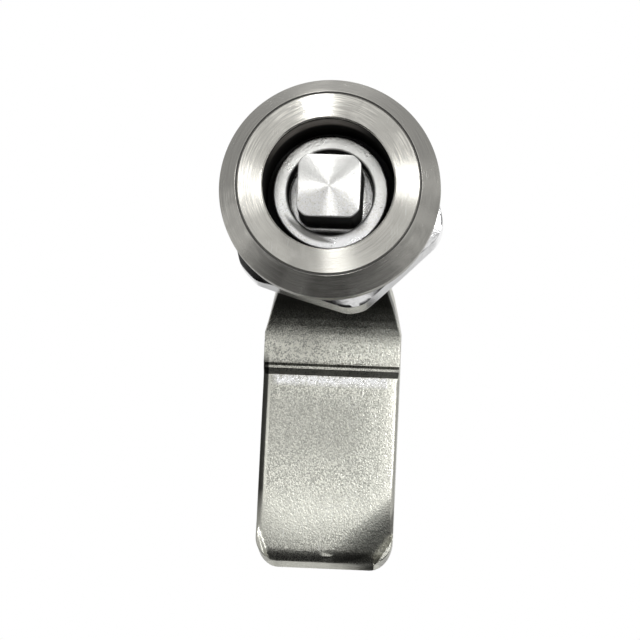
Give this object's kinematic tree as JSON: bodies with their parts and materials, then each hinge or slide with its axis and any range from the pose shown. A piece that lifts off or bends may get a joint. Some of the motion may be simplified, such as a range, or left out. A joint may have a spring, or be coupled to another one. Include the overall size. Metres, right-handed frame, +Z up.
{
  "type": "cam lock",
  "caption": "Quarter-turn cam lock with a round turned head, square key drive, threaded barrel with nut and a cranked flat cam.",
  "frame": {"origin": "on the lock's turning axis, in the plane of the door's outer face, which is the back of the head seal", "axes": "+Y along the turning axis, from the head through the door to the cam; +Z up, opposite to the way the closed cam hangs; +X to the right as seen from outside"},
  "size_m": [0.0288, 0.035, 0.0599],
  "materials": {
    "turned_steel": "fine turned, with concentric marks",
    "polished_steel": "polished",
    "tumbled_steel": "grainy, tumbled",
    "cam_steel": "grainy, tumbled, with a few scratches",
    "plated_steel": "zinc plated",
    "spring_steel": "dark, phosphated",
    "seal_rubber": "matt"
  },
  "bodies": {
    "lock_housing": {"housing": "turned_steel", "head_seal": "seal_rubber", "mounting_nut": "polished_steel"},
    "lock_rotor": {"rotor": "tumbled_steel", "rotor_seal_ring": "seal_rubber", "stop_disc": "plated_steel", "cam": "cam_steel", "cam_washer": "plated_steel", "spring_washer": "spring_steel", "cam_screw": "plated_steel"}
  },
  "joints": [
    {"name": "rotor_turn", "type": "hinge", "parent": "lock_housing", "child": "lock_rotor", "pos_m": [0, 0, 0], "axis": [0, -1, 0], "range_deg": [0, 90]}
  ]
}
